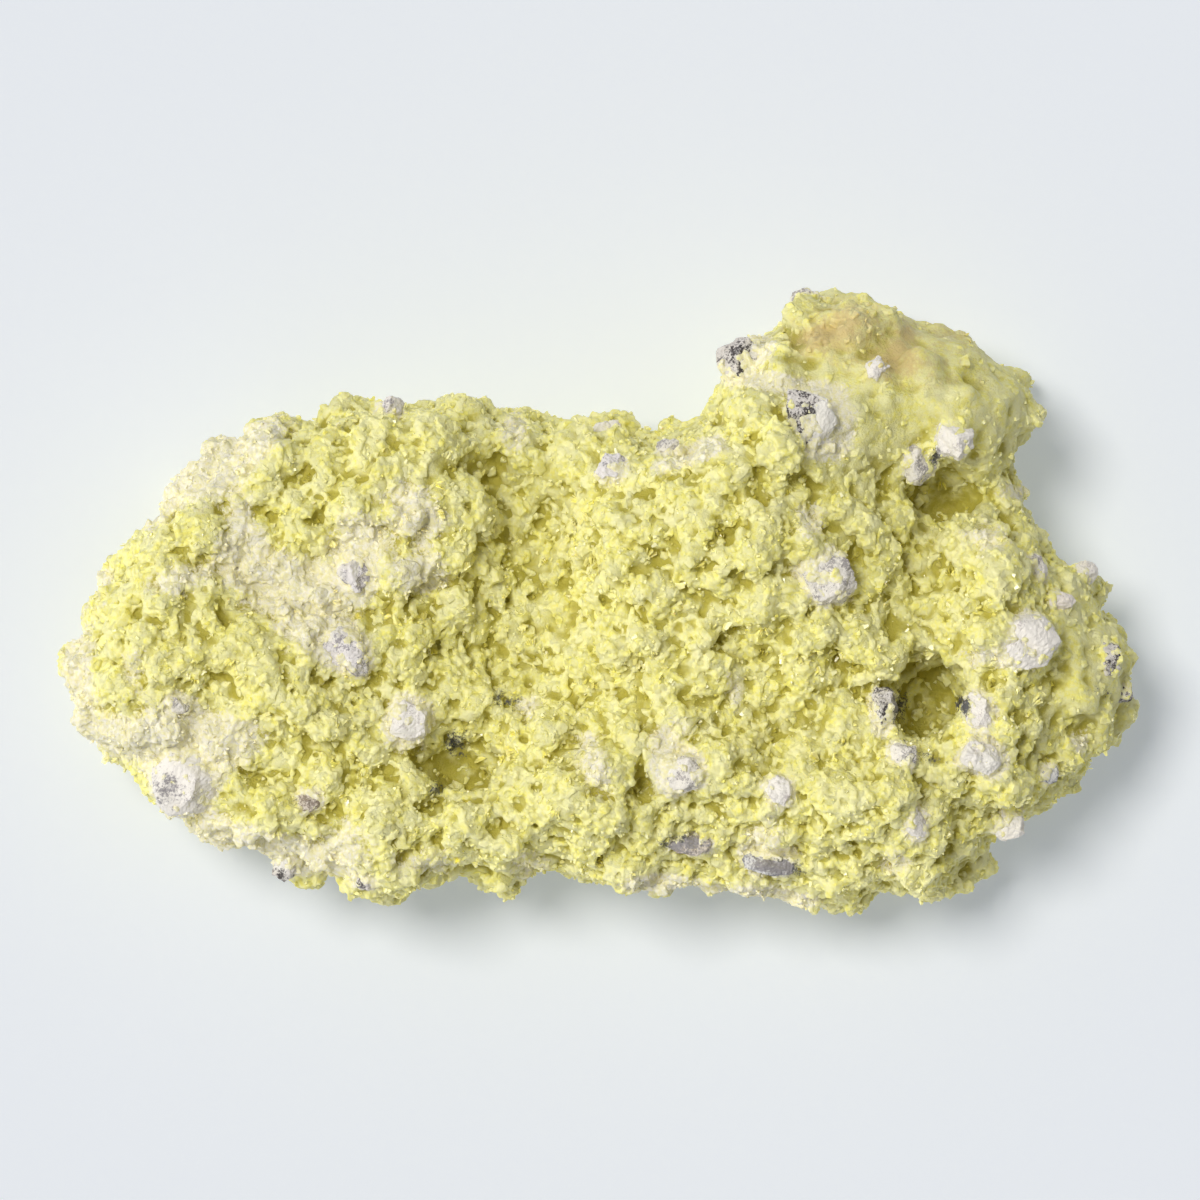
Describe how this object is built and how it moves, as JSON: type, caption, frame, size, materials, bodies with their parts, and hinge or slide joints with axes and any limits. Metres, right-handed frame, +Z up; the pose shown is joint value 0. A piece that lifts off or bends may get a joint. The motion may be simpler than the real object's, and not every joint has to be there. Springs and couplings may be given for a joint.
{
  "type": "native sulfur specimen",
  "caption": "Lumpy hand specimen of pale yellow crystalline native sulfur that has cemented small volcanic stones, with a flat face to rest on.",
  "frame": {"origin": "centre of the bounding box at the level of the resting face", "axes": "+X along the longest extent, towards the steep end with the large white stone; +Y towards the side with the raised lobe; +Z up, out of the crystal-covered face"},
  "size_m": [0.1613, 0.0926, 0.0488],
  "materials": {
    "sulfur": "glassy to resinous pale yellow crystals, powdery in places",
    "white_tuff": "powdery, matt",
    "pink_tuff": "powdery, matt",
    "lilac_tuff": "powdery, matt",
    "grey_andesite": "rough, matt",
    "blue_andesite": "rough, matt",
    "brown_andesite": "rough, matt",
    "dark_andesite": "rough, matt"
  },
  "bodies": {
    "root": {"blue_pebble_corner": "blue_andesite", "blue_stone_front": "blue_andesite", "brown_pebble_front": "brown_andesite", "brown_stone_front": "brown_andesite", "dark_pebble_flank": "dark_andesite", "dark_pebble_foot": "dark_andesite", "dark_pebble_heel": "dark_andesite", "dark_stone_flank": "dark_andesite", "dark_stone_notch": "dark_andesite", "dark_stone_pit": "dark_andesite", "dark_stone_ridge": "dark_andesite", "grey_pebble_left": "grey_andesite", "grey_pebble_rim": "grey_andesite", "grey_stone_centre": "grey_andesite", "grey_stone_crown": "grey_andesite", "grey_stone_flank": "grey_andesite", "grey_stone_front": "grey_andesite", "grey_stone_saddle": "grey_andesite", "lilac_stone_hollow": "lilac_tuff", "lilac_stone_left": "lilac_tuff", "lilac_stone_rim": "lilac_tuff", "lilac_stone_trough": "lilac_tuff", "pink_stone_flank": "pink_tuff", "sulfur_mass": "sulfur", "white_stone_cavity": "white_tuff", "white_stone_corner": "white_tuff", "white_stone_flank": "white_tuff", "white_stone_front": "white_tuff", "white_stone_heel": "white_tuff", "white_stone_lobe": "white_tuff", "white_stone_pit_brow": "white_tuff", "white_stone_pit_foot": "white_tuff", "white_stone_pit_side": "white_tuff", "white_stone_right": "white_tuff", "white_stone_rim": "white_tuff", "white_stone_saddle": "white_tuff", "white_stone_toe": "white_tuff"}
  },
  "joints": []
}
